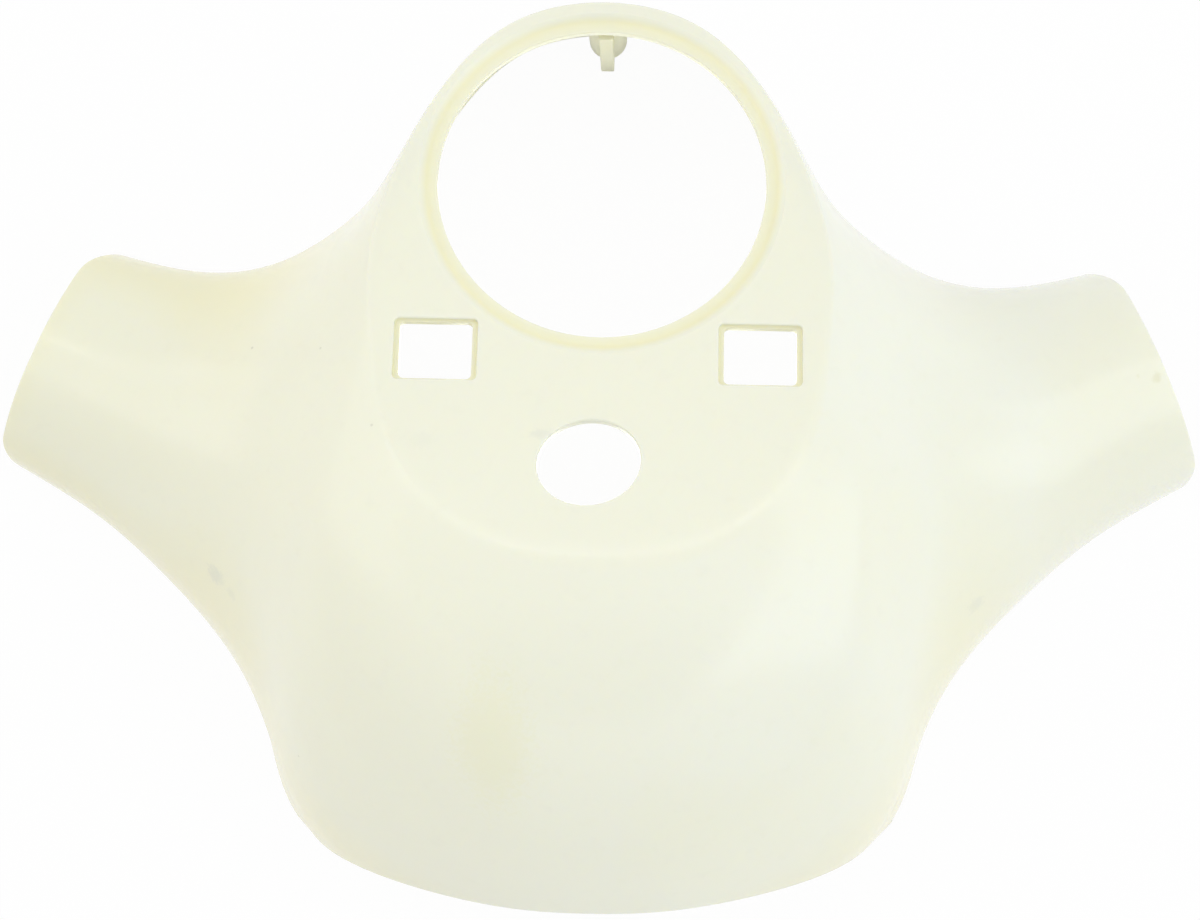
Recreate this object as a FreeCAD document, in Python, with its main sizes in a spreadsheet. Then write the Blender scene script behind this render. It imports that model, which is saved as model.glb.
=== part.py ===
import FreeCAD, Part
import math
import os
from FreeCAD import Vector

# One moulded shell: bowl over the lamp in front, gauge pod behind, a half-tube arm on each side.
# The frame stands on the rim plane: X to the right arm, Y to the rear, Z up.

doc = FreeCAD.newDocument("handlebar_cover")
sheet = doc.addObject("Spreadsheet::Sheet", "Sizes")

SIZES = {
    # shell
    "wall": 2.6,
    "trim_block": 500,
    # lamp arch
    "arch_ahead": 95.4,
    "arch_lean": 15.9,
    # instrument panel and gauge pod
    "panel_tilt": 16.8,
    "panel_edge": 2,
    "gauge_behind": 65.6,
    "gauge_height": 68,
    "seat_radius": 43.1,
    "seat_ledge": 3.4,
    "seat_depth": 1.2,
    "ledge": 1.6,
    # lamp windows
    "window_side": 38.4,
    "window_past_seat": 0.7,
    "window_width": 17.2,
    "window_length": 14,
    "window_side_step": 1.3,
    "window_end_step": 0.6,
    "window_depth": 1.4,
    "window_corner": 1.2,
    "frame_wall": 1.3,
    # key hole
    "key_side": -1.5,
    "key_past_seat": 28,
    "key_half_width": 12.2,
    "key_half_length": 10.2,
    "key_turn": 12,
    # arm ends
    "arm_end_side": 144.2,
    "arm_end_behind": 22.6,
    "arm_sweep": 23.5,
    "arm_half_width": 31,
    "arm_taper": 2.3,
    "arm_overrun": 18,
    # screw posts
    "post_radius": 5,
    "post_foot": 1,
    "rear_post_inset": 4.4,
    "rear_post_drop": 17,
    "rib_width": 3.5,
    "rib_reach": 8.4,
    "front_post_side": 79,
    "front_post_ahead": 56.9,
    "pilot_radius": 1.75,
    "pilot_depth": 18,
}

# Front feet of the arches, as X, Y
FRONT_FEET = {
    "nose": (0, -134.9),
    "brow": (26, -131.9),
    "cheek": (75.5, -108.4),
    "flank": (84, -77.8),
    "neck": (95, -54.9),
    "root": (116, -33.4),
    "arm": (135.5, -16.4),
}

# Rear feet around the gauge pod, as angle from the rear and distance past the gauge seat
POD_FEET = {
    "nose": (0, 6.2),
    "brow": (31.9, 7.9),
    "cheek": (64.8, 6.2),
    "flank": (86.8, 11),
}

# Rear feet along the arm, as X, Y
REAR_FEET = {
    "neck": (69.5, 57.1),
    "root": (87.5, 47.1),
    "arm": (109.5, 44.6),
}

# Profile of the broad arches, as front reach and rise, rear reach and rise, rear corner
BROAD = {
    "nose": (97.5, 97.2, 70, 88, 0),
    "brow": (95, 97.5, 66, 86, 0),
    "cheek": (103, 90, 60, 80, 2),
    "flank": (82.5, 75, 50, 70, 8),
    "neck": (62, 61, 42, 58, 16),
}

# Rise of the round arches along the arm
ROUND = {
    "root": (46,),
    "arm": (39,),
    "cuff": (36.5,),
    "tail": (35.5,),
}

FRONT_COLUMNS = ("front_side", "front_behind")
POD_COLUMNS = ("pod_angle", "pod_margin")
REAR_COLUMNS = ("rear_side", "rear_behind")
BROAD_COLUMNS = ("front_reach", "front_rise", "rear_reach", "rear_rise", "rear_corner")
ROUND_COLUMNS = ("rise",)

TABLES = (
    (FRONT_FEET, FRONT_COLUMNS),
    (POD_FEET, POD_COLUMNS),
    (REAR_FEET, REAR_COLUMNS),
    (BROAD, BROAD_COLUMNS),
    (ROUND, ROUND_COLUMNS),
)
for table, columns in TABLES:
    for station, values in table.items():
        SIZES.update({f"{station}_{column}": value for column, value in zip(columns, values)})

for row, (alias, value) in enumerate(SIZES.items(), 1):
    sheet.set(f"A{row}", alias)
    sheet.set(f"B{row}", str(value))
    sheet.setAlias(f"B{row}", alias)
doc.recompute()


def size(alias):
    return float(sheet.get(alias))


def bind(thing, **expressions):
    for name, expression in expressions.items():
        thing.setExpression(name.replace("__", "."), expression)
    return thing


def primitive(kind, name, **expressions):
    return bind(doc.addObject(f"Part::{kind}", name), **expressions)


def boolean(kind, name, base, tool):
    thing = doc.addObject(f"Part::{kind}", name)
    thing.Base = base
    thing.Tool = tool
    return thing


def fuse(name, *things):
    thing = doc.addObject("Part::MultiFuse", name)
    thing.Shapes = list(things)
    return thing


def mirrored(name, source):
    thing = doc.addObject("Part::Mirroring", name)
    thing.Source = source
    thing.Normal = Vector(1, 0, 0)
    return thing


# Skin: arches side by side, each standing in an upright plane from a front foot to a rear foot

# Pole shares of an arch that draw a half circle within half a percent
EASE = 0.586
UPRIGHT = 0.482
DEGREE = 3


def rear_foot(station):
    if station in REAR_FEET:
        return Vector(size(f"{station}_rear_side"), size(f"{station}_rear_behind"), 0)
    angle = math.radians(size(f"{station}_pod_angle"))
    reach = size("seat_radius") + size(f"{station}_pod_margin")
    return Vector(reach * math.sin(angle), size("gauge_behind") + reach * math.cos(angle), 0)


def station_feet():
    for station in FRONT_FEET:
        front = Vector(size(f"{station}_front_side"), size(f"{station}_front_behind"), 0)
        yield front, rear_foot(station)
    sweep = math.radians(size("arm_sweep"))
    outward = Vector(math.cos(sweep), math.sin(sweep), 0)
    across = Vector(-outward.y, outward.x, 0)
    end = Vector(size("arm_end_side"), size("arm_end_behind"), 0)
    cuff_half = size("arm_half_width")
    tail_half = cuff_half - size("arm_taper")
    for run, half in ((0, cuff_half), (size("arm_overrun"), tail_half)):
        middle = end + outward * run
        yield middle - across * half, middle + across * half


def arch_poles(station, front, rear):
    length = (rear - front).Length
    along = (rear - front) / length
    if station in BROAD:
        front_reach, front_rise, rear_reach, rear_rise, corner = (
            size(f"{station}_{column}") for column in BROAD_COLUMNS)
    else:
        front_reach = rear_reach = length / 2
        front_rise = rear_rise = size(f"{station}_rise")
        corner = rear_reach * EASE
    runs = (0, 0, front_reach * EASE, front_reach, length - rear_reach, length - corner, length, length)
    rises = (0, front_rise * UPRIGHT, front_rise, front_rise,
             rear_rise, rear_rise, rear_rise * UPRIGHT, 0)
    return [front + along * run + Vector(0, 0, rise) for run, rise in zip(runs, rises)]


def flipped(point):
    return Vector(-point.x, point.y, point.z)


def knots(count):
    return list(range(count - DEGREE + 1))


def multiplicities(count):
    return [DEGREE + 1] + [1] * (count - DEGREE - 1) + [DEGREE + 1]


def averages(count):
    full = [0] * DEGREE + knots(count) + [count - DEGREE] * DEGREE
    return [sum(full[i + 1:i + 1 + DEGREE]) / DEGREE for i in range(count)]


def skin_surface(net):
    rows, columns = len(net), len(net[0])
    surface = Part.BSplineSurface()
    surface.buildFromPolesMultsKnots(net, multiplicities(rows), multiplicities(columns),
                                     knots(rows), knots(columns), False, False, DEGREE, DEGREE)
    return surface


def inset(net, depth):
    surface = skin_surface(net)
    moved = []
    for row, u in zip(net, averages(len(net))):
        line = []
        for pole, v in zip(row, averages(len(row))):
            normal = surface.normal(u, v)
            outward = normal if normal.dot(Vector(pole.x, pole.y / 2, 40)) > 0 else -normal
            line.append(pole - outward * depth)
        line[0].z = 0
        line[-1].z = 0
        moved.append(line)
    for row in (0, -1):
        upright = (net[row][-1] - net[row][0]).cross(Vector(0, 0, 1)).normalize()
        moved[row] = [pole - upright * (pole - net[row][0]).dot(upright) for pole in moved[row]]
    return moved


def closed_skin(net):
    surface = skin_surface(net)
    last_row, last_column = len(net) - DEGREE, len(net[0]) - DEGREE
    front = surface.vIso(0).toShape()
    rear = surface.vIso(last_column).toShape()
    left = surface.uIso(0).toShape()
    right = surface.uIso(last_row).toShape()
    left_sill = Part.makeLine(net[0][0], net[0][-1])
    right_sill = Part.makeLine(net[-1][0], net[-1][-1])
    floor = Part.Face(Part.Wire([front, right_sill, rear, left_sill]))
    left_cap = Part.Face(Part.Wire([left, left_sill]))
    right_cap = Part.Face(Part.Wire([right, right_sill]))
    shell = Part.Shell([surface.toShape(), floor, left_cap, right_cap])
    shell.sewShape()
    solid = Part.Solid(shell)
    if solid.Volume < 0:
        solid.reverse()
    return solid


stations = (*FRONT_FEET, "cuff", "tail")
half_net = [arch_poles(station, *feet) for station, feet in zip(stations, station_feet())]
net = [[flipped(pole) for pole in row] for row in half_net[:0:-1]] + half_net

outer_skin = doc.addObject("Part::Feature", "OuterSkin")
outer_skin.Shape = closed_skin(net)
inner_skin = doc.addObject("Part::Feature", "InnerSkin")
inner_skin.Shape = closed_skin(inset(net, size("wall")))
middle_skin = doc.addObject("Part::Feature", "MiddleSkin")
middle_skin.Shape = closed_skin(inset(net, size("wall") / 2))

# Panel plane: everything above it is taken off the skin, and a wall lower off the cavity

TILT = "Sizes.panel_tilt * 1 deg"
SQUARE_ON = ("0", "0", f"-{TILT}")
SEAM_IN_FRONT = ("90", TILT, "0")
KEY_TURN = "Sizes.key_turn * 1 deg"
TURNED_KEY = (f"atan(cos({TILT}) * tan({KEY_TURN}))", f"asin(sin({TILT}) * sin({KEY_TURN}))",
              f"-atan(tan({TILT}) * cos({KEY_TURN}))")


def on_panel(thing, side, ahead, depth, turn=SQUARE_ON):
    return bind(
        thing,
        Placement__Base__x=side,
        Placement__Base__y=f"Sizes.gauge_behind - ({ahead}) * cos({TILT}) - ({depth}) * sin({TILT})",
        Placement__Base__z=f"Sizes.gauge_height + ({ahead}) * sin({TILT}) - ({depth}) * cos({TILT})",
        Placement__Rotation__Yaw=turn[0],
        Placement__Rotation__Pitch=turn[1],
        Placement__Rotation__Roll=turn[2],
    )


def panel_block(name, width, length, height, side, ahead, depth):
    box = primitive("Box", name, Length=width, Width=length, Height=height)
    return on_panel(box, f"({side}) - ({width}) / 2", f"({ahead}) + ({length}) / 2", depth)


def panel_round(name, radius, height, depth):
    cylinder = primitive("Cylinder", name, Radius=radius, Height=height)
    return on_panel(cylinder, "0", "0", depth, SEAM_IN_FRONT)


def rounded(name, box):
    upright_edges = (1, 3, 5, 7)
    thing = doc.addObject("Part::Fillet", name)
    thing.Base = box
    thing.Edges = [(edge, size("window_corner"), size("window_corner")) for edge in upright_edges]
    return thing


BLOCK = "Sizes.trim_block"
above_panel = panel_block("AbovePanel", BLOCK, BLOCK, BLOCK, "0", "0", "0")
above_cavity = panel_block("AboveCavity", BLOCK, BLOCK, BLOCK, "0", "0", "Sizes.wall")
body = boolean("Cut", "Body", outer_skin, above_panel)
cavity = boolean("Cut", "Cavity", inner_skin, above_cavity)
doc.recompute()

# Soft edge where the panel meets the skin

panel_normal = above_panel.Placement.Rotation.multVec(Vector(0, 0, 1))
panel_face = max(body.Shape.Faces, key=lambda face: face.normalAt(0, 0).dot(panel_normal))
crease = [index for index, edge in enumerate(body.Shape.Edges, 1)
          if any(edge.isSame(side) for side in panel_face.Edges)]
soft_body = doc.addObject("Part::Fillet", "SoftBody")
soft_body.Base = body
soft_body.Edges = [(index, size("panel_edge"), size("panel_edge")) for index in crease]
doc.recompute()

shell = boolean("Cut", "Shell", soft_body, cavity)

# Collar of the gauge seat and frames of the lamp windows, under the panel

SEAT_FLOOR = "Sizes.seat_depth + Sizes.ledge"
WINDOW_FLOOR = "Sizes.window_depth + Sizes.ledge"
RECESS_WIDTH = "Sizes.window_width + 2 * Sizes.window_side_step"
RECESS_LENGTH = "Sizes.window_length + 2 * Sizes.window_end_step"
WINDOW_AHEAD = "Sizes.seat_radius + Sizes.window_past_seat"
KEY_AHEAD = "Sizes.seat_radius + Sizes.key_past_seat"

collar = panel_round("Collar", "Sizes.seat_radius + Sizes.wall",
                     f"{SEAT_FLOOR} - Sizes.wall / 2", SEAT_FLOOR)
frame = panel_block("Frame", f"{RECESS_WIDTH} + 2 * Sizes.frame_wall",
                    f"{RECESS_LENGTH} + 2 * Sizes.frame_wall", f"{WINDOW_FLOOR} - Sizes.wall / 2",
                    "Sizes.window_side", WINDOW_AHEAD, WINDOW_FLOOR)

# Screw posts and the rib of the rear one

REAR_POST_HEIGHT = "Sizes.gauge_height - Sizes.rear_post_drop - Sizes.post_foot"
REAR_POST_BEHIND = "Sizes.gauge_behind + Sizes.seat_radius + Sizes.nose_pod_margin - Sizes.rear_post_inset"
rear_post = primitive(
    "Cylinder", "RearPost", Radius="Sizes.post_radius", Height=REAR_POST_HEIGHT,
    Placement__Base__y=REAR_POST_BEHIND, Placement__Base__z="Sizes.post_foot")
rear_rib = primitive(
    "Box", "RearRib", Length="Sizes.rib_width", Width="Sizes.rib_reach", Height=REAR_POST_HEIGHT,
    Placement__Base__x="-Sizes.rib_width / 2",
    Placement__Base__y=f"{REAR_POST_BEHIND} - Sizes.rib_reach",
    Placement__Base__z="Sizes.post_foot")
front_post = primitive(
    "Cylinder", "FrontPost", Radius="Sizes.post_radius", Height="Sizes.gauge_height",
    Placement__Base__x="Sizes.front_post_side", Placement__Base__y="-Sizes.front_post_ahead",
    Placement__Base__z="Sizes.post_foot")

# Everything under the panel ends inside the wall
fittings = fuse("Fittings", collar, frame, mirrored("OtherFrame", frame),
                rear_post, rear_rib, front_post, mirrored("OtherFrontPost", front_post))
inside_fittings = boolean("Common", "InsideFittings", fittings, middle_skin)
moulding = fuse("Moulding", shell, inside_fittings)

# Openings: gauge hole with its seat, two stepped windows, oval key hole, screw pilots

THROUGH = "Sizes.gauge_height"
seat = panel_round("Seat", "Sizes.seat_radius", THROUGH, "Sizes.seat_depth")
gauge_hole = panel_round("GaugeHole", "Sizes.seat_radius - Sizes.seat_ledge", THROUGH,
                         f"{SEAT_FLOOR} + Sizes.ledge")
window_recess = panel_block("WindowRecess", RECESS_WIDTH, RECESS_LENGTH, THROUGH,
                            "Sizes.window_side", WINDOW_AHEAD, "Sizes.window_depth")
window_hole = panel_block("WindowHole", "Sizes.window_width", "Sizes.window_length", THROUGH,
                          "Sizes.window_side", WINDOW_AHEAD, f"{WINDOW_FLOOR} + Sizes.ledge")
window = fuse("Window", rounded("RoundedRecess", window_recess), rounded("RoundedHole", window_hole))

key_oval = primitive("Ellipse", "KeyOval", MajorRadius="Sizes.key_half_width",
                     MinorRadius="Sizes.key_half_length")
on_panel(key_oval, "Sizes.key_side", KEY_AHEAD, "Sizes.wall * 2", TURNED_KEY)
key_hole = doc.addObject("Part::Extrusion", "KeyHole")
key_hole.Base = key_oval
key_hole.DirMode = "Normal"
key_hole.Solid = True
bind(key_hole, LengthFwd="Sizes.wall * 4")

front_pilot = primitive(
    "Cylinder", "FrontPilot", Radius="Sizes.pilot_radius", Height="Sizes.pilot_depth",
    Placement__Base__x="Sizes.front_post_side", Placement__Base__y="-Sizes.front_post_ahead")
openings = fuse("Openings", seat, gauge_hole, window, mirrored("OtherWindow", window), key_hole,
                front_pilot, mirrored("OtherFrontPilot", front_pilot))

# Trims: the lamp arch in front and the two arm ends

LEAN = "Sizes.arch_lean * 1 deg"
ahead_of_arch = primitive(
    "Box", "AheadOfArch", Length=BLOCK, Width=BLOCK, Height=BLOCK,
    Placement__Base__x=f"-{BLOCK} / 2",
    Placement__Base__y=f"-Sizes.arch_ahead - {BLOCK} * cos({LEAN}) + {BLOCK} / 2 * sin({LEAN})",
    Placement__Base__z=f"-{BLOCK} * sin({LEAN}) - {BLOCK} / 2 * cos({LEAN})",
    Placement__Rotation__Yaw="0", Placement__Rotation__Pitch="0", Placement__Rotation__Roll=LEAN)
SWEEP = "Sizes.arm_sweep * 1 deg"
beyond_arm = primitive(
    "Box", "BeyondArm", Length=BLOCK, Width=BLOCK, Height=BLOCK,
    Placement__Base__x=f"Sizes.arm_end_side + {BLOCK} / 2 * sin({SWEEP})",
    Placement__Base__y=f"Sizes.arm_end_behind - {BLOCK} / 2 * cos({SWEEP})",
    Placement__Base__z=f"-{BLOCK} / 2",
    Placement__Rotation__Yaw=SWEEP, Placement__Rotation__Pitch="0", Placement__Rotation__Roll="0")
trims = fuse("Trims", ahead_of_arch, beyond_arm, mirrored("BeyondOtherArm", beyond_arm))

opened = boolean("Cut", "Opened", moulding, openings)
cover = boolean("Cut", "Cover", opened, trims)
cover.Label = "handlebar_cover"
doc.recompute()

failed = [thing.Name for thing in doc.Objects if {"Invalid", "Error"} & set(thing.State)]
if failed:
    raise RuntimeError(f"failed objects: {failed}")
if cover.Shape.isNull() or not cover.Shape.isValid() or len(cover.Shape.Solids) != 1:
    raise RuntimeError("the cover is not one valid solid")

os.makedirs("parts", exist_ok=True)
cover.Shape.exportStep(f"parts/{cover.Label}.step")
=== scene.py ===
import math

import bmesh
import bpy
import numpy as np
from mathutils import Matrix, Vector
from mathutils.bvhtree import BVHTree


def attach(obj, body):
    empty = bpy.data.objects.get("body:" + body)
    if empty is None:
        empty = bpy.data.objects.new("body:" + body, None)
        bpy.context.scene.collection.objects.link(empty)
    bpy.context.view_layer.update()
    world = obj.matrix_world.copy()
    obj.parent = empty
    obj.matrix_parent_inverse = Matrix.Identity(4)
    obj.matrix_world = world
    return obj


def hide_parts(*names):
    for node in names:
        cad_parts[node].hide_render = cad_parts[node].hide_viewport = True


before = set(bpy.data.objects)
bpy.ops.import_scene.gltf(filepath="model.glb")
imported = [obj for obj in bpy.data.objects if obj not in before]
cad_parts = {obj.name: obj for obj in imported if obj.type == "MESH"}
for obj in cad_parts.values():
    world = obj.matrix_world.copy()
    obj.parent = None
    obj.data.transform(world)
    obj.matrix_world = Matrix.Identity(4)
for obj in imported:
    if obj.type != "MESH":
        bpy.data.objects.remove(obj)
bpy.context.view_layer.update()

MM = 0.001

# Sizes of the cover, in millimetres

WALL = 2.6
ARCH_AHEAD, ARCH_LEAN = 95.4, math.radians(15.9)
PANEL_TILT, PANEL_SOFTNESS = math.radians(16.8), 0.7
GAUGE_BEHIND, GAUGE_HEIGHT = 65.6, 68.0
GAUGE_HOLE, SEAT_RADIUS, SEAT_DEPTH, LEDGE = 39.7, 43.1, 1.2, 1.6
WINDOW_SIDE, WINDOW_AHEAD = 38.4, 43.8
WINDOW_HOLE, WINDOW_RECESS = (17.2, 14.0), (19.8, 15.2)
WINDOW_DEPTH, WINDOW_CORNER = 1.4, 1.2
KEY_SIDE, KEY_AHEAD, KEY_TURN = -1.5, 71.1, math.radians(12)
KEY_HALF = (12.2, 10.2)
ARM_END, ARM_SWEEP = (144.2, 22.6), math.radians(23.5)
ARM_HALF_WIDTH, ARM_TAPER, ARM_OVERRUN = 31.0, 2.3, 18.0
POST_RADIUS, POST_FOOT, PILOT_RADIUS, PILOT_DEPTH = 5.0, 1.0, 1.75, 18.0
POST_EDGE, PILOT_LEAD = 0.4, 0.3
REAR_POST_BEHIND, REAR_POST_TOP = 110.5, 51.0
RIB_WIDTH, RIB_REACH, RIB_EDGE = 3.5, 8.4, 0.3
FRONT_POST = (79.0, -56.9)

# Arm ends that lean and have rounded corners, in millimetres

ARM_RUN, ARM_LEAN = 2.7, math.radians(4.6)
ARM_SHOULDER, ARM_CORNER = 32.4, 9.0

# Flare of the foot at its front corners, and where it comes in along -Y and X

CORNER_FLARE, FLARE_HEIGHT = 2.9, 20.0
FLARE_AHEAD, FLARE_SIDE = (60, 94), (40, 70)

# Eased rims, on edges sharper than an angle, and the relief inside the pod's foot

RIM_EDGE, RIM_ANGLE = 0.6, 0.7
LAP_DEPTH, LAP_HEIGHT, LAP_FADE = 1.35, 9.0, 14

# Feet of the arches, as front X, front Y, rear X, rear Y

FEET = {
    "nose": (0, -134.9, 0, 114.9),
    "brow": (26, -131.9, 27, 108.9),
    "cheek": (75.5, -108.4, 44.6, 86.6),
    "flank": (84, -77.8, 54, 68.6),
    "neck": (95, -54.9, 69.5, 57.1),
    "root": (116, -33.4, 87.5, 47.1),
    "arm": (135.5, -16.4, 109.5, 44.6),
}

# Profile of the broad arches, as front reach and rise, rear reach and rise, rear corner

BROAD = {
    "nose": (97.5, 97.2, 70, 88, 0),
    "brow": (95, 97.5, 66, 86, 0),
    "cheek": (103, 90, 60, 80, 2),
    "flank": (82.5, 75, 50, 70, 8),
    "neck": (62, 61, 42, 58, 16),
}

# Rise of the round arches along the arm

ROUND = {"root": 46, "arm": 39, "cuff": 36.5, "tail": 35.5}

# Pole shares of an arch that draw a half circle

EASE, UPRIGHT, DEGREE = 0.586, 0.482, 3

ARCH_POINT = np.array([0, -ARCH_AHEAD, 0])
ARCH_OUTWARD = np.array([0, -math.cos(ARCH_LEAN), -math.sin(ARCH_LEAN)])
ARM_POINT = np.array([*ARM_END, 0])
ARM_OUTWARD = np.array([math.cos(ARM_SWEEP), math.sin(ARM_SWEEP), 0])
ARM_ACROSS = np.array([-ARM_OUTWARD[1], ARM_OUTWARD[0], 0])
FLIP = np.array([-1, 1, 1])
PANEL_POINT = np.array([0, GAUGE_BEHIND, GAUGE_HEIGHT])
PANEL_NORMAL = np.array([0, math.sin(PANEL_TILT), math.cos(PANEL_TILT)])
PANEL = Matrix((
    (1, 0, 0, 0),
    (0, math.cos(PANEL_TILT), math.sin(PANEL_TILT), GAUGE_BEHIND),
    (0, -math.sin(PANEL_TILT), math.cos(PANEL_TILT), GAUGE_HEIGHT),
    (0, 0, 0, 1)))


# Skin of the cover: arches side by side under one smooth surface

def smooth_step(value, low, high):
    share = np.clip((value - low) / (high - low), 0, 1)
    return share * share * (3 - 2 * share)


def arch_feet():
    for front_x, front_y, rear_x, rear_y in FEET.values():
        yield np.array([front_x, front_y, 0]), np.array([rear_x, rear_y, 0])
    tail_half = ARM_HALF_WIDTH - ARM_TAPER
    for run, half in ((0, ARM_HALF_WIDTH), (ARM_OVERRUN, tail_half)):
        middle = ARM_POINT + ARM_OUTWARD * run
        yield middle - ARM_ACROSS * half, middle + ARM_ACROSS * half


def arch_poles(name, front, rear):
    length = np.linalg.norm(rear - front)
    along = (rear - front) / length
    if name in BROAD:
        front_reach, front_rise, rear_reach, rear_rise, corner = BROAD[name]
    else:
        front_reach = rear_reach = length / 2
        front_rise = rear_rise = ROUND[name]
        corner = rear_reach * EASE
    runs = (0, 0, front_reach * EASE, front_reach,
            length - rear_reach, length - corner, length, length)
    rises = (0, front_rise * UPRIGHT, front_rise, front_rise,
             rear_rise, rear_rise, rear_rise * UPRIGHT, 0)
    return [front + along * run + np.array([0, 0, rise])
            for run, rise in zip(runs, rises)]


def skin_net():
    names = (*FEET, "cuff", "tail")
    half = np.array([arch_poles(name, *feet) for name, feet in zip(names, arch_feet())])
    return np.concatenate([half[:0:-1] * FLIP, half])


NET = skin_net()
U_END, V_END = (count - DEGREE for count in NET.shape[:2])

# Shares of U_END: where the arch corner and the arm end are looked for, and the even columns end

CORNER_FROM, ARM_FROM, EVEN_END = 0.55, 0.75, 0.76

# Steps of a search, and the small gaps that keep the blend weights defined

HALVINGS = 40
END_GAP, LEAST_SPAN = 1e-9, 1e-12


def blend_weights(count, params):
    end = count - DEGREE
    knots = np.concatenate([np.zeros(DEGREE), np.arange(end + 1.0), np.full(DEGREE, end)])
    params = np.clip(params, 0, end - END_GAP)[:, None]
    table = ((knots[:-1] <= params) & (params < knots[1:])).astype(float)
    for degree in range(1, DEGREE + 1):
        low, high = knots[:-degree - 1], knots[degree + 1:]
        rise = np.maximum(knots[degree:-1] - low, LEAST_SPAN)
        fall = np.maximum(high - knots[1:-degree], LEAST_SPAN)
        table = ((params - low) / rise * table[:, :-1]
                 + (high - params) / fall * table[:, 1:])
    return table


def skin_points(u, v):
    across, down = blend_weights(len(NET), u), blend_weights(len(NET[0]), v)
    return np.einsum("ni,nj,ijk->nk", across, down, NET)


def crossing(low, high, beyond):
    """Where a condition that holds at the low end stops holding, found by halving."""
    for _ in range(HALVINGS):
        middle = (low + high) / 2
        outside = beyond(middle)
        low, high = np.where(outside, middle, low), np.where(outside, high, middle)
    return high


def arch_start(u):
    def ahead(v):
        return (skin_points(u, v) - ARCH_POINT) @ ARCH_OUTWARD > 0
    start = crossing(np.zeros_like(u), np.full_like(u, V_END / 2), ahead)
    return np.where(ahead(np.zeros_like(u)), start, 0)


def arm_reach(points):
    """How far points lie beyond the leaning arm end with its rounded corners."""
    out = points - ARM_POINT
    into_corner = np.abs(out @ ARM_ACROSS) - ARM_SHOULDER + ARM_CORNER
    into_corner = np.clip(into_corner, 0, ARM_CORNER)
    setback = ARM_CORNER - np.sqrt(ARM_CORNER ** 2 - into_corner ** 2)
    return out @ ARM_OUTWARD - ARM_RUN + out[:, 2] * math.tan(ARM_LEAN) + setback


def arm_stop(v):
    def within(u):
        return arm_reach(skin_points(u, v)) < 0
    return crossing(np.full_like(v, U_END * ARM_FROM), np.full_like(v, float(U_END)), within)


def arch_corner():
    def inside_arch(u):
        return (skin_points(u, np.zeros_like(u)) - ARCH_POINT) @ ARCH_OUTWARD > 0
    low, high = np.array([U_END * CORNER_FROM]), np.array([U_END * ARM_FROM])
    return crossing(low, high, inside_arch)[0]


# Grid of the skin: the arms take a share of the columns, and rows crowd towards the feet

COLUMNS, ROWS = 181, 151
ARM_SHARE, ROW_CROWDING = 0.2, 0.5
RIM_ARCH, RIM_RIGHT, RIM_LEFT, RIM_FOOT = 1, 2, 3, 4


def sheet_parameters():
    middle = U_END / 2
    reach = U_END * EVEN_END - middle
    share = np.linspace(-1, 1, COLUMNS)
    across = np.clip(share / (1 - ARM_SHARE), -1, 1) * reach
    corner = arch_corner() - middle
    for side in (-1, 1):
        across[np.argmin(np.abs(across - side * corner))] = side * corner
    past = np.clip((np.abs(share) - 1 + ARM_SHARE) / ARM_SHARE, 0, 1)
    start = arch_start(middle + across)
    down = np.linspace(0, 1, ROWS)
    down -= ROW_CROWDING * np.sin(2 * math.pi * down) / (2 * math.pi)
    v = start[:, None] + down * (V_END - start[:, None])
    stop = arm_stop(down * V_END) - middle
    outwards = np.sign(share)[:, None] * past[:, None]
    u = middle + across[:, None] + outwards * (stop - reach)
    return u, v, start


def panel_height(points):
    return (points - PANEL_POINT) @ PANEL_NORMAL


def flared(points):
    """The foot stands out a little at the two front corners."""
    x, y, z = points.T
    share = (smooth_step(-y, *FLARE_AHEAD) * (1 - smooth_step(z, 0, FLARE_HEIGHT))
             * smooth_step(np.abs(x), *FLARE_SIDE))
    return points + np.outer(np.sign(x) * CORNER_FLARE * share, (1, 0, 0))


def dome_sheet():
    u, v, start = sheet_parameters()
    heights = panel_height(skin_points(u.ravel(), v.ravel())).reshape(u.shape)
    bm = bmesh.new()
    u_layer, v_layer = bm.verts.layers.float.new("u"), bm.verts.layers.float.new("v")
    rim_layer = bm.verts.layers.int.new("rim")
    grid = [[bm.verts.new((u[i, j], v[i, j], 0)) for j in range(ROWS)]
            for i in range(COLUMNS)]
    for i, column in enumerate(grid):
        for j, vertex in enumerate(column):
            vertex[u_layer], vertex[v_layer] = u[i, j], v[i, j]
            if j in (0, ROWS - 1):
                vertex[rim_layer] = RIM_ARCH if j == 0 and start[i] > 0 else RIM_FOOT
            if i in (0, COLUMNS - 1):
                vertex[rim_layer] = RIM_RIGHT if i else RIM_LEFT
    near_panel_edge = set()
    for i in range(COLUMNS - 1):
        for j in range(ROWS - 1):
            quad = bm.faces.new((grid[i][j], grid[i + 1][j],
                                 grid[i + 1][j + 1], grid[i][j + 1]))
            corners = heights[i:i + 2, j:j + 2]
            if corners.min() < PANEL_SOFTNESS and corners.max() > -PANEL_SOFTNESS:
                near_panel_edge.update(quad.edges)
    bmesh.ops.subdivide_edges(bm, edges=list(near_panel_edge), cuts=2,
                              use_grid_fill=True)
    vertices = list(bm.verts)
    places = skin_points(np.array([vertex[u_layer] for vertex in vertices]),
                         np.array([vertex[v_layer] for vertex in vertices]))
    for vertex, place in zip(vertices, flared(places)):
        vertex.co = Vector(place * MM)
    mesh = bpy.data.meshes.new("dome_sheet")
    bm.to_mesh(mesh)
    bm.free()
    return mesh


# Nodes that shapes and finishes share

def math_node(tree, operation, *values):
    node = tree.nodes.new("ShaderNodeMath")
    node.operation = operation
    for socket, value in zip(node.inputs, values):
        if isinstance(value, (int, float)):
            socket.default_value = value
        else:
            tree.links.new(value, socket)
    return node.outputs["Value"]


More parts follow.
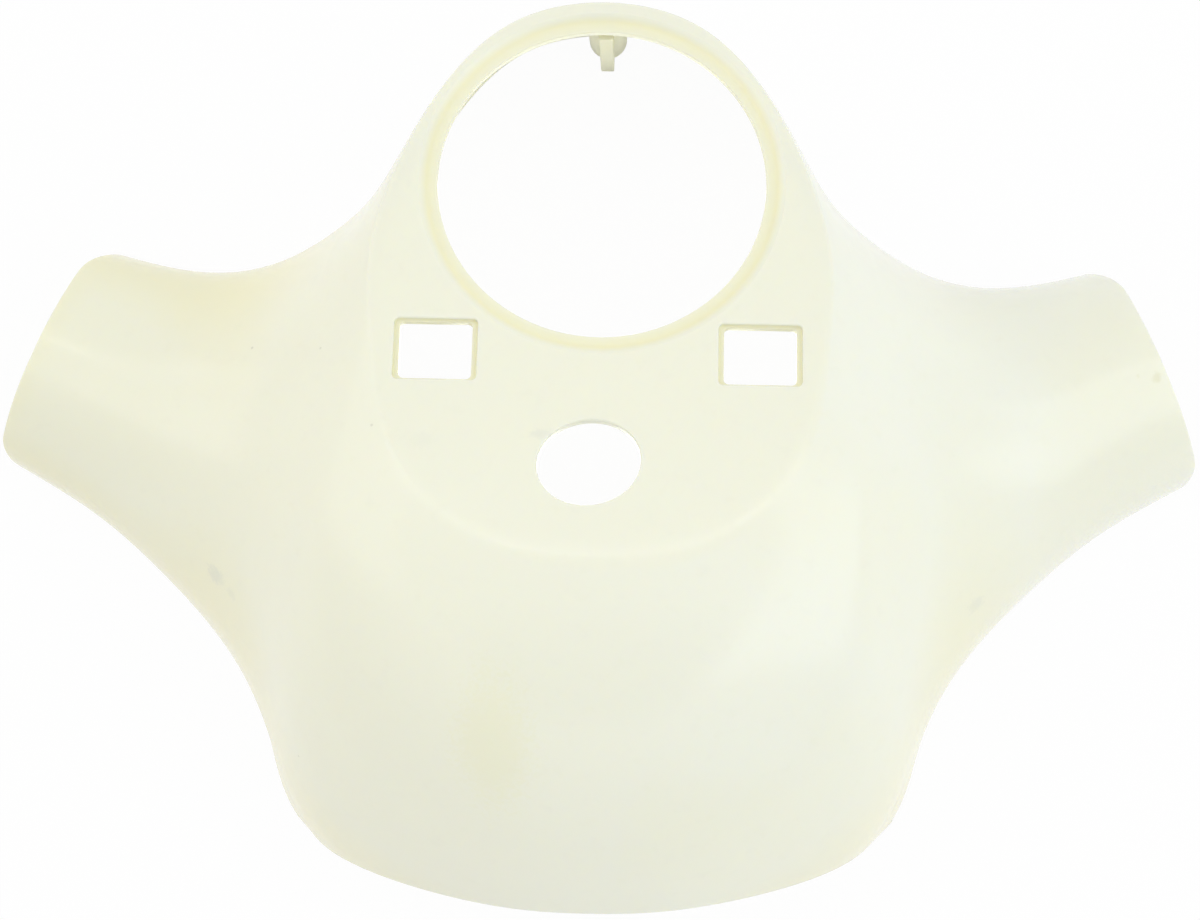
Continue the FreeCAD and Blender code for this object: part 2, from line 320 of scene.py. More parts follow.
def vector_node(tree, operation, *values):
    node = tree.nodes.new("ShaderNodeVectorMath")
    node.operation = operation
    for socket, value in zip(node.inputs, values):
        if isinstance(value, tuple):
            socket.default_value = value
        else:
            tree.links.new(value, socket)
    return node


# Panel: the dome is pressed flat along the panel plane, with a soft edge

PRESS_INPUTS = {"Geometry": "Geometry", "Panel Point": "Vector", "Panel Normal": "Vector",
                "Soft Edge": "Float", "Finish": "Material"}


def press_tree():
    tree = bpy.data.node_groups.new("press_panel", "GeometryNodeTree")
    new_socket, link = tree.interface.new_socket, tree.links.new
    for label, kind in PRESS_INPUTS.items():
        new_socket(label, in_out="INPUT", socket_type="NodeSocket" + kind)
    new_socket("Geometry", in_out="OUTPUT", socket_type="NodeSocketGeometry")
    given = tree.nodes.new("NodeGroupInput").outputs
    result = tree.nodes.new("NodeGroupOutput")
    place = tree.nodes.new("GeometryNodeInputPosition").outputs["Position"]
    from_panel = vector_node(tree, "SUBTRACT", place, given["Panel Point"]).outputs["Vector"]
    height = vector_node(tree, "DOT_PRODUCT", from_panel, given["Panel Normal"]).outputs["Value"]
    pressed = math_node(tree, "SMOOTH_MIN", height, 0, given["Soft Edge"])
    along = vector_node(tree, "SCALE", given["Panel Normal"])
    link(math_node(tree, "SUBTRACT", pressed, height), along.inputs["Scale"])
    move = tree.nodes.new("GeometryNodeSetPosition")
    link(given["Geometry"], move.inputs["Geometry"])
    link(along.outputs["Vector"], move.inputs["Offset"])
    realize = tree.nodes.new("GeometryNodeRealizeInstances")
    link(move.outputs["Geometry"], realize.inputs["Geometry"])
    finish = tree.nodes.new("GeometryNodeSetMaterial")
    link(realize.outputs["Geometry"], finish.inputs["Geometry"])
    link(given["Finish"], finish.inputs["Material"])
    link(finish.outputs["Geometry"], result.inputs["Geometry"])
    return tree


def set_input(modifier, name, value):
    socket = next(item for item in modifier.node_group.interface.items_tree
                  if item.name == name and item.in_out == "INPUT")
    modifier[socket.identifier] = value


def link_object(name, mesh):
    thing = bpy.data.objects.new(name, mesh)
    bpy.context.scene.collection.objects.link(thing)
    return thing


def baked(thing):
    graph = bpy.context.evaluated_depsgraph_get()
    graph.update()
    return bpy.data.meshes.new_from_object(thing.evaluated_get(graph))


def walled_cover():
    sheet = dome_sheet()
    count = len(sheet.vertices)
    sheet.materials.append(gloss)
    sheet.materials.append(matt)
    cover = link_object("cover", sheet)
    press = cover.modifiers.new("press", "NODES")
    press.node_group = press_tree()
    set_input(press, "Panel Point", tuple(PANEL_POINT * MM))
    set_input(press, "Panel Normal", tuple(PANEL_NORMAL))
    set_input(press, "Soft Edge", PANEL_SOFTNESS * MM)
    set_input(press, "Finish", gloss)
    wall = cover.modifiers.new("wall", "SOLIDIFY")
    wall.thickness = WALL * MM
    wall.offset = -1
    wall.use_even_offset = True
    wall.material_offset = 1
    mesh = baked(cover)
    cover.modifiers.clear()
    cover.data = mesh
    trim_rims(mesh, count)
    return cover


# Rims: the inner edges are set level with the outer ones, and the corners are eased. The inside
# is relieved along the pod's foot, where the lower cover laps under it

RIM_OUTWARD = {RIM_ARCH: ARCH_OUTWARD, RIM_RIGHT: ARM_OUTWARD,
               RIM_LEFT: ARM_OUTWARD * FLIP, RIM_FOOT: (0, 0, -1)}


def trim_rims(mesh, outer_count):
    bm = bmesh.new()
    bm.from_mesh(mesh)
    rim_layer = bm.verts.layers.int["rim"]
    bm.verts.ensure_lookup_table()
    for outer, inner in zip(bm.verts[:outer_count], bm.verts[outer_count:]):
        if inner[rim_layer]:
            outward = Vector(RIM_OUTWARD[inner[rim_layer]])
            inner.co += outward * (outer.co - inner.co).dot(outward)
            inner.co.z = max(inner.co.z, 0)
        if inner.co.z < LAP_HEIGHT * MM:
            share = smooth_step(inner.co.y / MM - GAUGE_BEHIND, 0, LAP_FADE)
            share *= min(1, 2 - 2 * inner.co.z / (LAP_HEIGHT * MM))
            inner.co += (outer.co - inner.co).normalized() * LAP_DEPTH * MM * share
    edges = [edge for edge in bm.edges
             if all(vertex[rim_layer] for vertex in edge.verts)
             and len(edge.link_faces) == 2 and edge.calc_face_angle(0) > RIM_ANGLE]
    bmesh.ops.bevel(bm, geom=edges, offset=RIM_EDGE * MM, segments=2, profile=0.5,
                    affect="EDGES", clamp_overlap=True)
    bm.to_mesh(mesh)
    bm.free()


# Pieces that are joined to the wall or cut from it

def loft(name, rings, material, matrix=Matrix()):
    bm = bmesh.new()
    rows = [[bm.verts.new(matrix @ Vector(point) * MM) for point in ring]
            for ring in rings]
    for low, high in zip(rows, rows[1:]):
        for i in range(len(low)):
            k = (i + 1) % len(low)
            bm.faces.new((low[i], low[k], high[k], high[i]))
    bm.faces.new(rows[0][::-1])
    bm.faces.new(rows[-1])
    bmesh.ops.recalc_face_normals(bm, faces=bm.faces)
    mesh = bpy.data.meshes.new(name)
    bm.to_mesh(mesh)
    bm.free()
    mesh.materials.append(material)
    return link_object(name, mesh)


def oval(half_x, half_y, height, middle=(0, 0), turn=0.0, points=96):
    ring = []
    for step in range(points):
        angle = 2 * math.pi * step / points
        x, y = half_x * math.cos(angle), half_y * math.sin(angle)
        ring.append((middle[0] + x * math.cos(turn) - y * math.sin(turn),
                     middle[1] + x * math.sin(turn) + y * math.cos(turn), height))
    return ring


def circle(radius, height, middle=(0, 0), points=192):
    return oval(radius, radius, height, middle, points=points)


def rounded_rectangle(width, length, corner, height, middle, steps=6):
    ring = []
    for quarter, (side, way) in enumerate(((1, 1), (-1, 1), (-1, -1), (1, -1))):
        corner_x = middle[0] + side * (width / 2 - corner)
        corner_y = middle[1] + way * (length / 2 - corner)
        for step in range(steps + 1):
            angle = math.pi / 2 * (quarter + step / steps)
            ring.append((corner_x + corner * math.cos(angle),
                         corner_y + corner * math.sin(angle), height))
    return ring


# Edges of the cuts: lip sizes, a lip's widening and height, the seat's widening and share of
# depth, the widening and height round a window's floor, and how far cuts reach past the face

KEY_LIP, GAUGE_LIP, WINDOW_LIP, LEDGE_LIP = 0.55, 0.4, 0.4, 0.28
LIP_STEPS = ((1.0, 0.12), (0.62, -0.08), (0.29, -0.29), (0.08, -0.62), (0.0, -1.0))
SEAT_STEPS = ((1.6, -0.12), (1.15, 0.03), (0.7, 0.2), (0.25, 0.42),
              (-0.2, 0.65), (-0.65, 0.83), (-1.1, 0.95), (-1.6, 1.0))
WINDOW_FLOOR = ((0, 0.3), (-0.1, 0.1), (-0.3, 0))
ABOVE, BELOW, UNDER_FOOT = 6.0, 9.0, -5

# Edges of the collar and the window frames, as height over their foot and widening

COLLAR_EDGE = ((0.4, 0), (0.1, -0.1), (0, -0.4))
FRAME_EDGE, FRAME_CORNER = ((0.3, 0), (0, -0.3)), 1.6


def eased(depth, lip):
    """Widening and height of a cut as it comes down through a rounded edge."""
    return [(out * lip, -depth + drop * lip) for out, drop in LIP_STEPS]


def gauge_cutter():
    rings = [circle(SEAT_RADIUS + SEAT_STEPS[0][0], ABOVE)]
    rings += [circle(SEAT_RADIUS + out, -share * SEAT_DEPTH) for out, share in SEAT_STEPS]
    rings += [circle(GAUGE_HOLE + out, height) for out, height in eased(SEAT_DEPTH, GAUGE_LIP)[1:]]
    rings += [circle(GAUGE_HOLE, -BELOW)]
    return loft("gauge_cut", rings, gloss, PANEL)


def window_cutter(side):
    middle = (side * WINDOW_SIDE, -WINDOW_AHEAD)

    def ring(size, out, height):
        return rounded_rectangle(size[0] + 2 * out, size[1] + 2 * out,
                                 WINDOW_CORNER + out, height, middle)

    rings = [ring(WINDOW_RECESS, WINDOW_LIP, ABOVE)]
    rings += [ring(WINDOW_RECESS, out, height) for out, height in eased(0, WINDOW_LIP)]
    rings += [ring(WINDOW_RECESS, out, height - WINDOW_DEPTH) for out, height in WINDOW_FLOOR]
    rings += [ring(WINDOW_HOLE, out, height) for out, height in eased(WINDOW_DEPTH, LEDGE_LIP)[1:]]
    rings += [ring(WINDOW_HOLE, 0, -BELOW)]
    return loft("window_cut", rings, gloss, PANEL)


def key_cutter():
    middle = (KEY_SIDE, -KEY_AHEAD)

    def ring(out, height):
        return oval(KEY_HALF[0] + out, KEY_HALF[1] + out, height, middle, KEY_TURN)

    rings = [ring(KEY_LIP, ABOVE)]
    rings += [ring(out, height) for out, height in eased(0, KEY_LIP)]
    rings += [ring(0, -BELOW)]
    return loft("key_cut", rings, gloss, PANEL)


def pilot_cutter(side):
    middle = (side * FRONT_POST[0], FRONT_POST[1])
    rings = [circle(PILOT_RADIUS + out, height, middle, points=32)
             for height, out in ((UNDER_FOOT, PILOT_LEAD), (POST_FOOT, PILOT_LEAD),
                                 (POST_FOOT + POST_EDGE, 0), (PILOT_DEPTH, 0))]
    return loft("pilot_cut", rings, matt)


def collar():
    foot = SEAT_DEPTH + LEDGE
    radius = SEAT_RADIUS + WALL
    rings = [circle(radius, -WALL / 2)]
    rings += [circle(radius + out, -(foot - up)) for up, out in COLLAR_EDGE]
    return loft("collar", rings, matt, PANEL)


def window_frame(side):
    middle = (side * WINDOW_SIDE, -WINDOW_AHEAD)
    foot = WINDOW_DEPTH + LEDGE
    width, length = (size + WALL for size in WINDOW_RECESS)
    rings = [rounded_rectangle(width, length, FRAME_CORNER, -WALL / 2, middle)]
    rings += [rounded_rectangle(width + 2 * out, length + 2 * out, FRAME_CORNER,
                                -(foot - up), middle) for up, out in FRAME_EDGE]
    return loft("window_frame", rings, matt, PANEL)


# Posts end inside the wall, which is found by looking up from the foot or back from the pod

LOOK_UP_FROM, LOOK_BACK_FROM = 2, 90


def front_post(side, wall_tree):
    middle = (side * FRONT_POST[0], FRONT_POST[1])
    rings = [circle(POST_RADIUS - inset, height, middle, points=48)
             for height, inset in ((POST_FOOT, POST_EDGE), (POST_FOOT + POST_EDGE, 0))]
    top = []
    for x, y, _ in circle(POST_RADIUS, 0, middle, points=48):
        hit = wall_tree.ray_cast(Vector((x, y, LOOK_UP_FROM)) * MM, Vector((0, 0, 1)))[0]
        top.append((x, y, hit.z / MM + WALL / 2))
    return loft("front_post", [*rings, top], matt)


# Rear boss: a half-round front with a rib, and a back that follows the wall at some heights

BOSS_HEIGHTS = (POST_FOOT, 12, 24, 36, 44, REAR_POST_TOP)
BOSS_ARC_STEPS, BOSS_BACK, RIB_ROOT = 24, 0.66, 0.94


def boss_outline():
    turns = [math.pi * step / BOSS_ARC_STEPS for step in range(BOSS_ARC_STEPS + 1)]
    front = [(-POST_RADIUS * math.cos(turn), -POST_RADIUS * math.sin(turn)) for turn in turns]
    half, root = RIB_WIDTH / 2, -POST_RADIUS * RIB_ROOT
    tip = RIB_EDGE - RIB_REACH
    rib = [(-half, root), (-half, tip), (-half + RIB_EDGE, -RIB_REACH),
           (half - RIB_EDGE, -RIB_REACH), (half, tip), (half, root)]
    left = [point for point in front if point[0] < -half]
    right = [point for point in front if point[0] > half]
    return [*left, *rib, *right]


def rear_boss(wall_tree):
    def on_wall(x, height):
        hit = wall_tree.ray_cast(Vector((x, LOOK_BACK_FROM, height)) * MM, Vector((0, 1, 0)))[0]
        return x, hit.y / MM + WALL / 2, height

    outline = boss_outline()
    back = (POST_RADIUS * BOSS_BACK, 0, -POST_RADIUS * BOSS_BACK)
    rings = []
    for height in BOSS_HEIGHTS:
        ring = [(x, REAR_POST_BEHIND + y, height) for x, y in outline]
        ring[0], ring[-1] = on_wall(-POST_RADIUS, height), on_wall(POST_RADIUS, height)
        rings.append(ring + [on_wall(x, height) for x in back])
    return loft("rear_boss", rings, matt)


def combine(cover, operation, pieces):
    tools = bpy.data.collections.new(operation.lower())
    for piece in pieces:
        tools.objects.link(piece)
    step = cover.modifiers.new(operation.lower(), "BOOLEAN")
    step.operation = operation
    step.operand_type = "COLLECTION"
    step.collection = tools
    step.solver = "MANIFOLD"
    step.material_mode = "TRANSFER"
    mesh = baked(cover)
    cover.modifiers.clear()
    cover.data = mesh
    for piece in pieces:
        bpy.data.objects.remove(piece)
    bpy.data.collections.remove(tools)


def finished_cover():
    cover = walled_cover()
    wall_tree = BVHTree.FromObject(cover, bpy.context.evaluated_depsgraph_get())
    combine(cover, "UNION", [
        collar(), window_frame(-1), window_frame(1),
        front_post(-1, wall_tree), front_post(1, wall_tree), rear_boss(wall_tree)])
    combine(cover, "DIFFERENCE", [
        gauge_cutter(), window_cutter(-1), window_cutter(1), key_cutter(),
        pilot_cutter(-1), pilot_cutter(1)])
    return cover


# Warm tint: shares at the left and right arm ends, on the left side as painted warm light and on
# the panel, each with the millimetres over which it fades

END_WARMTH, END_FADE = (0.55, 0.1), 14
LEFT_LIGHT_WARMTH, LEFT_LIGHT_SPAN = 0.34, (-150, 110)
PANEL_WARMTH, PANEL_FADE = 0.2, (0.2, 1.2)

# Warm foot: shares at the left and right, what an arm takes off them, and the heights between
# which they fade, with what an arm takes off those. The share falls to the rear, more at the right

ON_ARM = (85, 125)
FOOT_WARMTH, ARM_COOLING = (0.95, 0.8), (0.15, 0.7)
FOOT_LOW, FOOT_HIGH = (24, 9), (74, 30)
RIGHT_COOLING, RIGHT_BEHIND = 0.8, (-20, 25)
POD_COOLING, POD_BEHIND = 0.7, (45, 70)

# Warm steps, painted as shade in the seat's corner and as light through the thin plastic inside
# the hole
# and the windows: share over the radius in the seat, and share, full depth and margin in the
# windows

SEAT_WARMTH = ((0, 0.45), (GAUGE_HOLE, 0.45), (41.2, 0.6), (42.4, 0.85), (44.2, 0))
WINDOW_WARMTH, WINDOW_SUNK, WINDOW_MARGIN = 0.7, 0.8, 0.5
STEP_REACH = 12


def foot_warmth(x, y, z):
    on_arm = smooth_step(np.abs(x), *ON_ARM)
    left, right = (share - cooling * on_arm for share, cooling in zip(FOOT_WARMTH, ARM_COOLING))
    right *= 1 - RIGHT_COOLING * smooth_step(y, *RIGHT_BEHIND)
    low, high = (height - cut * on_arm for height, cut in (FOOT_LOW, FOOT_HIGH))
    near_foot = np.where(x < 0, left, right) * (1 - smooth_step(z, low, high))
    return near_foot * (1 - POD_COOLING * smooth_step(y, *POD_BEHIND))


def step_warmth(x, ahead, sunk):
    # Painted shade and light: warmest in the seat's corner and inside the hole, and deeper down in
    # the windows
    seat = np.interp(np.hypot(x, ahead), *zip(*SEAT_WARMTH))
    half_width, half_length = (size / 2 + WINDOW_MARGIN for size in WINDOW_RECESS)
    in_window = ((np.abs(np.abs(x) - WINDOW_SIDE) < half_width)
                 & (np.abs(ahead - WINDOW_AHEAD) < half_length))
    window = np.where(in_window, WINDOW_WARMTH * np.clip(sunk / WINDOW_SUNK, 0, 1), 0)
    return np.where(sunk < STEP_REACH, np.maximum(seat, window), 0)


def edge_warmth(points):
    """Share of the warmer tint near the foot and arm ends, on the left side, on the panel and in
    its steps. The left side's tint is painted warm light, the steps' tint painted shade and light.
    """
    x, y, z = points.T
    past_end = (points * np.where(x[:, None] < 0, FLIP, 1) - ARM_POINT) @ ARM_OUTWARD
    near_end = np.where(x < 0, *END_WARMTH) * np.exp(np.minimum(past_end, 0) / END_FADE)
    # Painted warm light: the left side is tinted warmer, fading out towards the right
    left_light_warmth = LEFT_LIGHT_WARMTH * (1 - smooth_step(x, *LEFT_LIGHT_SPAN))
    across = points - PANEL_POINT
    sunk = -(across @ PANEL_NORMAL)
    ahead = across @ np.array([0, -math.cos(PANEL_TILT), math.sin(PANEL_TILT)])
    on_panel = PANEL_WARMTH * (1 - smooth_step(sunk, *PANEL_FADE))
    return np.maximum.reduce([near_end, foot_warmth(x, y, z), left_light_warmth,
                              step_warmth(x, ahead, sunk), on_panel])


SHARP_ANGLE = math.radians(38)


def shade(cover):
    mesh = cover.data
    places = np.empty(len(mesh.vertices) * 3)
    mesh.vertices.foreach_get("co", places)
    warmth = mesh.attributes.new("edge_warmth", "FLOAT", "POINT")
    warmth.data.foreach_set("value", edge_warmth(places.reshape(-1, 3) / MM))
    mesh.polygons.foreach_set("use_smooth", [True] * len(mesh.polygons))
    mesh.set_sharp_from_angle(angle=SHARP_ANGLE)
    weigh = cover.modifiers.new("weigh", "WEIGHTED_NORMAL")
    weigh.keep_sharp = True
    cover.data = baked(cover)
    cover.modifiers.clear()


# Finishes

def group(name, given, results):
    tree = bpy.data.node_groups.new(name, "ShaderNodeTree")
    for label, kind, value in given:
        tree.interface.new_socket(label, in_out="INPUT", socket_type=kind).default_value = value
    for label, kind in results:
        tree.interface.new_socket(label, in_out="OUTPUT", socket_type=kind)
    start, end = tree.nodes.new("NodeGroupInput"), tree.nodes.new("NodeGroupOutput")
    return tree, start, end


def noise(tree, scale, detail, roughness=0.5):
    """Noise over the piece's own coordinates."""
    place = tree.nodes.new("ShaderNodeTexCoord")
    texture = tree.nodes.new("ShaderNodeTexNoise")
    tree.links.new(place.outputs["Object"], texture.inputs["Vector"])
    texture.inputs["Scale"].default_value = scale
    texture.inputs["Detail"].default_value = detail
    texture.inputs["Roughness"].default_value = roughness
    return texture.outputs["Fac"]


def ranged(tree, value, given, result):
    """A value brought smoothly from a given range to a result range."""
    node = tree.nodes.new("ShaderNodeMapRange")
    node.interpolation_type = "SMOOTHSTEP"
    tree.links.new(value, node.inputs["Value"])
    labels = ("From Min", "From Max", "To Min", "To Max")
    for label, number in zip(labels, (*given, *result)):
        if isinstance(number, (int, float)):
            node.inputs[label].default_value = number
        else:
            tree.links.new(number, node.inputs[label])
    return node.outputs["Result"]


def mixed(tree, share, first, second, blend="MIX"):
    node = tree.nodes.new("ShaderNodeMix")
    node.data_type = "RGBA"
    node.blend_type = blend
    sockets = {socket.identifier: socket for socket in node.inputs}
    for label, value in (("Factor_Float", share), ("A_Color", first), ("B_Color", second)):
        if isinstance(value, (int, float, tuple)):
            sockets[label].default_value = value
        else:
            tree.links.new(value, sockets[label])
    return next(socket for socket in node.outputs if socket.identifier == "Result_Color")


FLECK = (0.62, 0.6, 0.45, 1)


def cream_tint_group():
    """Cream plastic that is a little warmer in broad clouds, with faint pigment flecks."""
    tree, start, end = group("cream_tint", (
        ("Cream", "NodeSocketColor", (0.85, 0.86, 0.7, 1)),
        ("Warm", "NodeSocketColor", (0.85, 0.83, 0.6, 1)),
        ("Clouds", "NodeSocketFloat", 0.4)), (("Color", "NodeSocketColor"),))
    edge = tree.nodes.new("ShaderNodeAttribute")
    edge.attribute_name = "edge_warmth"
    clouds = ranged(tree, noise(tree, scale=13, detail=3),
                    (0.38, 0.68), (0.0, start.outputs["Clouds"]))
    share = math_node(tree, "MAXIMUM", clouds, edge.outputs["Fac"])
    tinted = mixed(tree, share, start.outputs["Cream"], start.outputs["Warm"])
    flecks = ranged(tree, noise(tree, scale=260, detail=2), (0.55, 0.8), (0.0, 0.04))
    tree.links.new(mixed(tree, flecks, tinted, FLECK), end.inputs["Color"])
    return tree


def mould_grain_group():
    """Slow ripple of the moulded face with a fine grain on it, and a slightly uneven sheen."""
    tree, start, end = group("mould_grain", (
        ("Ripple", "NodeSocketFloat", 0.5), ("Grain", "NodeSocketFloat", 0.5),
        ("Sheen", "NodeSocketFloat", 0.3), ("Unevenness", "NodeSocketFloat", 0.08)),
        (("Height", "NodeSocketFloat"), ("Roughness", "NodeSocketFloat")))
    ripple = noise(tree, scale=60, detail=1)
    ripple = math_node(tree, "MULTIPLY", ripple, start.outputs["Ripple"])
    grain = noise(tree, scale=700, detail=2)
    grain = math_node(tree, "MULTIPLY", grain, start.outputs["Grain"])
    tree.links.new(math_node(tree, "ADD", ripple, grain), end.inputs["Height"])
    patches = ranged(tree, noise(tree, scale=34, detail=4, roughness=0.6), (0.3, 0.7), (-0.5, 0.5))
    change = math_node(tree, "MULTIPLY", patches, start.outputs["Unevenness"])
    sheen = math_node(tree, "ADD", start.outputs["Sheen"], change)
    tree.links.new(sheen, end.inputs["Roughness"])
    return tree


def mark_group():
    """One mark at a place on the surface, with a soft uneven edge."""
    tree, start, end = group("mark", (
        ("Place", "NodeSocketVector", (0, 0, 0)), ("Stretch", "NodeSocketVector", (1, 1, 1)),
        ("Reach", "NodeSocketFloat", 0.001), ("Strength", "NodeSocketFloat", 0.5)),
        (("Mask", "NodeSocketFloat"),))
    place = tree.nodes.new("ShaderNodeTexCoord").outputs["Object"]
    away = vector_node(tree, "SUBTRACT", place, start.outputs["Place"]).outputs["Vector"]
    away = vector_node(tree, "DIVIDE", away, start.outputs["Stretch"]).outputs["Vector"]
    length = vector_node(tree, "LENGTH", away).outputs["Value"]
    ragged = ranged(tree, noise(tree, scale=900, detail=3, roughness=0.6), (0.3, 0.7), (0.75, 1.3))
    far = math_node(tree, "MULTIPLY", length, ragged)
    share = math_node(tree, "DIVIDE", far, start.outputs["Reach"])
    mask = ranged(tree, share, (0.25, 1.0), (start.outputs["Strength"], 0.0))
    tree.links.new(mask, end.inputs["Mask"])
    return tree


def add_group(material, tree, **values):
    node = material.node_tree.nodes.new("ShaderNodeGroup")
    node.node_tree = tree
    for label, value in values.items():
        node.inputs[label].default_value = value
    return node


CREAM_TINT, MOULD_GRAIN, MARK = cream_tint_group(), mould_grain_group(), mark_group()

# Marks, small specks and soft patches: place in millimetres, stretch along X, Y, Z, reach in
# millimetres, strength, colour

OLIVE, SMOKE = (0.5, 0.46, 0.1, 1), (0.5, 0.54, 0.56, 1)
SOOT, HONEY = (0.22, 0.21, 0.16, 1), (0.83, 0.82, 0.55, 1)
MARKS = (
    ((141.0, 21.7, 37.2), (1, 1, 1), 1.9, 0.17, OLIVE),
    ((136.1, 22.1, 37.8), (1, 1, 1), 0.8, 0.1, OLIVE),
    ((-95.5, -32.7, 42.6), (1.2, 0.9, 1), 4.0, 0.22, SMOKE),
    ((-90.5, -37.0, 45.0), (1, 1, 1), 2.4, 0.12, SMOKE),
    ((95.9, -36.6, 39.0), (1.6, 0.8, 1), 4.0, 0.14, SMOKE),
    ((-85.9, 24.1, 51.8), (1, 1, 1), 0.6, 0.25, SOOT),
    ((-67.1, 23.7, 67.7), (1, 1, 1), 0.5, 0.2, SOOT),
    ((-52.4, 5.2, 85.1), (1, 1, 1), 0.5, 0.2, SOOT),
    ((-71.8, -76.1, 55.7), (1, 1, 1), 0.5, 0.25, SOOT),
    ((-12.6, 3.9, 86.7), (2.0, 0.7, 1), 2.2, 0.14, SMOKE),
    ((-40.9, 1.9, 87.2), (1.4, 0.8, 1), 3.5, 0.05, SMOKE),
    ((-22.5, -68.4, 90.8), (0.8, 1.6, 1), 16, 0.32, HONEY),
)


# Plastic with a shallow grain, which light enters a little way, in metres

BUMP_STRENGTH, BUMP_DEPTH = 0.25, 0.0002
PLASTIC = {"IOR": 1.5, "Subsurface Weight": 0.4, "Subsurface Radius": (1.0, 0.9, 0.55),
           "Subsurface Scale": 0.0025}


def cream(name, grain, tint, marks=()):
    material = bpy.data.materials.new(name)
    material.use_nodes = True
    tree = material.node_tree
    bsdf = tree.nodes["Principled BSDF"]
    colour = add_group(material, CREAM_TINT, **tint).outputs["Color"]
    for place, stretch, reach, strength, mark_colour in marks:
        mask = add_group(material, MARK, Place=[value * MM for value in place], Stretch=stretch,
                         Reach=reach * MM, Strength=strength).outputs["Mask"]
        colour = mixed(tree, mask, colour, mark_colour)
    tree.links.new(colour, bsdf.inputs["Base Color"])
    face = add_group(material, MOULD_GRAIN, **grain)
    tree.links.new(face.outputs["Roughness"], bsdf.inputs["Roughness"])
    bump = tree.nodes.new("ShaderNodeBump")
    bump.inputs["Strength"].default_value = BUMP_STRENGTH
    bump.inputs["Distance"].default_value = BUMP_DEPTH
    tree.links.new(face.outputs["Height"], bump.inputs["Height"])
    tree.links.new(bump.outputs["Normal"], bsdf.inputs["Normal"])
    for label, value in PLASTIC.items():
        bsdf.inputs[label].default_value = value
    return material


GLOSS_GRAIN = {"Ripple": 0.5, "Grain": 0.05, "Sheen": 0.2, "Unevenness": 0.07}
GLOSS_TINT = {"Cream": (0.865, 0.878, 0.785, 1), "Warm": (0.86, 0.832, 0.565, 1), "Clouds": 0.22}
MATT_GRAIN = {"Ripple": 0.3, "Grain": 0.35, "Sheen": 0.46, "Unevenness": 0.12}
MATT_TINT = {"Cream": (0.84, 0.85, 0.72, 1), "Warm": (0.85, 0.825, 0.58, 1), "Clouds": 0.6}

gloss = cream("cream_gloss", GLOSS_GRAIN, GLOSS_TINT, MARKS)
matt = cream("cream_matt", MATT_GRAIN, MATT_TINT)
cover = finished_cover()
shade(cover)
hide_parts("handlebar_cover")
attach(cover, "root")


# Studio, in metres and watts

FLOOR_HALF, FLOOR_HEIGHT = 4, -0.0002
FLOOR_COLOUR, FLOOR_ROUGHNESS, FLOOR_GLOW = (0.9, 0.9, 0.9, 1), 0.8, 0.96


def floor():
    """White floor that glows for the eye and in reflections, but takes the cover's shadow."""
    material = bpy.data.materials.new("white_floor")
    material.use_nodes = True
    tree = material.node_tree
    nodes, links = tree.nodes, tree.links
    bsdf = nodes["Principled BSDF"]
    bsdf.inputs["Base Color"].default_value = FLOOR_COLOUR
    bsdf.inputs["Roughness"].default_value = FLOOR_ROUGHNESS
    glow = nodes.new("ShaderNodeEmission")
    rays = nodes.new("ShaderNodeLightPath").outputs
    seen = math_node(tree, "MAXIMUM", rays["Is Camera Ray"], rays["Is Glossy Ray"])
    seen = math_node(tree, "MAXIMUM", seen, rays["Is Transmission Ray"])
    mix = nodes.new("ShaderNodeMixShader")
    links.new(math_node(tree, "MULTIPLY", seen, FLOOR_GLOW), mix.inputs["Fac"])
    links.new(bsdf.outputs["BSDF"], mix.inputs[1])
    links.new(glow.outputs["Emission"], mix.inputs[2])
    links.new(mix.outputs["Shader"], nodes["Material Output"].inputs["Surface"])
    mesh = bpy.data.meshes.new("floor")
    corners = [(x * FLOOR_HALF, y * FLOOR_HALF, FLOOR_HEIGHT)
               for x, y in ((-1, -1), (1, -1), (1, 1), (-1, 1))]
    mesh.from_pydata(corners, [], [(0, 1, 2, 3)])
    mesh.materials.append(material)
    link_object("floor", mesh)


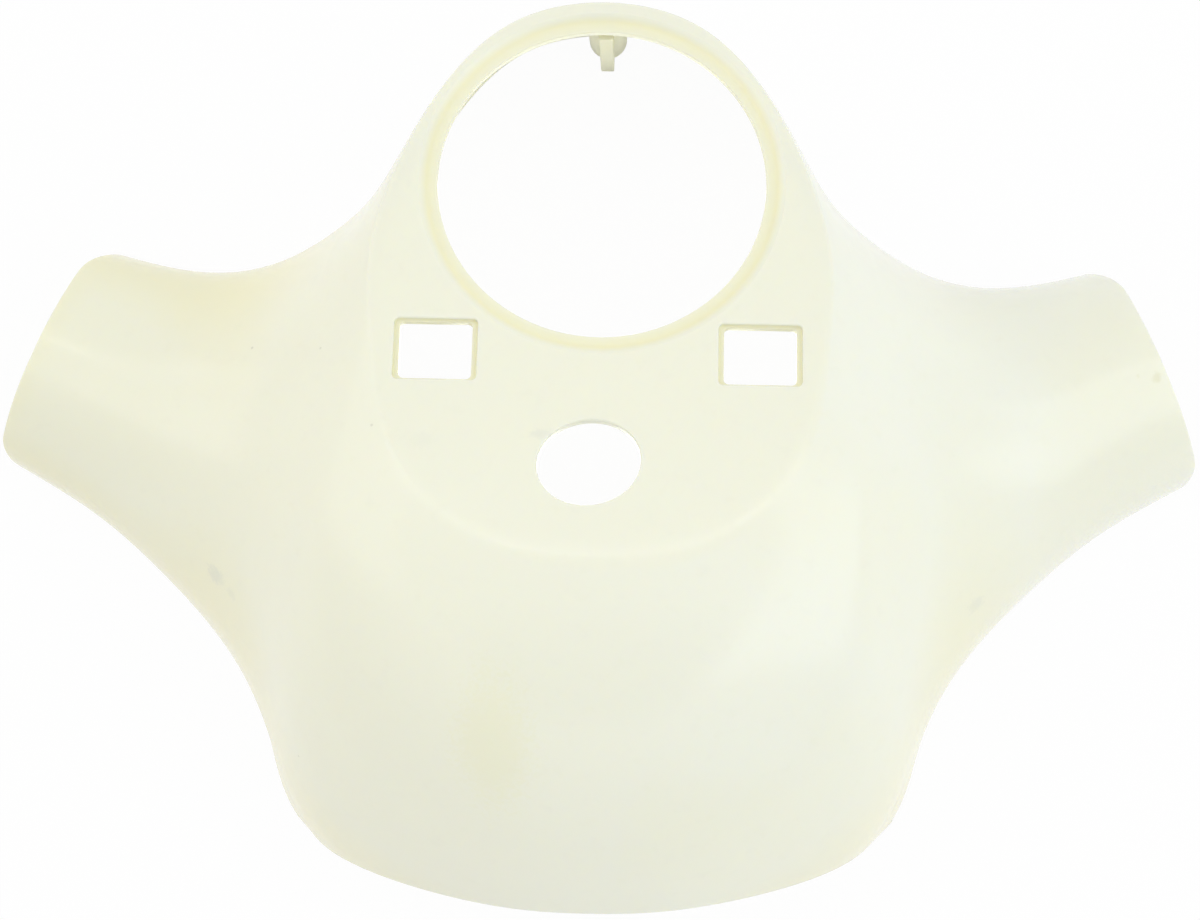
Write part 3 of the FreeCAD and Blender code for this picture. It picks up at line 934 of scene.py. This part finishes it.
def softbox(name, place, target, size, watts, colour=(1, 1, 1)):
    light = bpy.data.lights.new(name, "AREA")
    light.shape = "RECTANGLE"
    light.size, light.size_y = size
    light.energy = watts
    light.color = colour
    thing = link_object(name, light)
    thing.location = place
    facing = Vector(target) - Vector(place)
    thing.rotation_euler = facing.to_track_quat("-Z", "Y").to_euler()
    return thing


CAMERA_PLACE, CAMERA_TURN = (0.0085, -0.0019, 0.67), math.radians(1.15)
CAMERA_SHIFT = (-0.0264, 0.0005)


def camera():
    lens = bpy.data.cameras.new("camera")
    lens.lens, lens.sensor_width, lens.sensor_fit = 75, 36, "HORIZONTAL"
    lens.shift_x, lens.shift_y = CAMERA_SHIFT
    thing = link_object("camera", lens)
    thing.location = CAMERA_PLACE
    thing.rotation_euler = (0, 0, CAMERA_TURN)
    bpy.context.scene.camera = thing


# Room light: its level and the level of the dim spot, which faces one way and has a soft edge

ROOM_LEVELS = (0.82, 0.2)
SPOT_WAY, SPOT_EDGE = (0, -0.26, 0.966), (0.9, 0.985)


def white_room():
    """Even white light from all round, a little dimmer overhead where the camera stands."""
    sky = bpy.data.worlds.new("white_room")
    sky.use_nodes = True
    tree = sky.node_tree
    way = tree.nodes.new("ShaderNodeTexCoord").outputs["Generated"]
    facing = vector_node(tree, "DOT_PRODUCT", way, SPOT_WAY).outputs["Value"]
    background = tree.nodes["Background"]
    background.inputs["Color"].default_value = (1, 1, 1, 1)
    level = ranged(tree, facing, SPOT_EDGE, ROOM_LEVELS)
    tree.links.new(level, background.inputs["Strength"])
    bpy.context.scene.world = sky


# Lamps, as place, target, size, watts and colour

BOX_SIZE = (0.9, 1.1)
GLOW_PLACE = (0, 0.016, 0.0006)

floor()
white_room()
softbox("right_box", (0.85, -0.1, 0.75), (0, 0, 0.05), BOX_SIZE, 3.0, (0.88, 0.95, 1))
softbox("left_box", (-0.85, 0.35, 0.65), (0, 0, 0.05), BOX_SIZE, 2.0, (1, 0.98, 0.93))
softbox("rear_strip", (0, 0.36, 0.95), (0, 0, 0.08), (1.1, 0.12), 0.72)
under = softbox("under_glow", GLOW_PLACE, (*GLOW_PLACE[:2], 1), (0.084, 0.112), 0.042)
under.visible_camera = False
camera()
bpy.context.scene.view_settings.view_transform = "Standard"
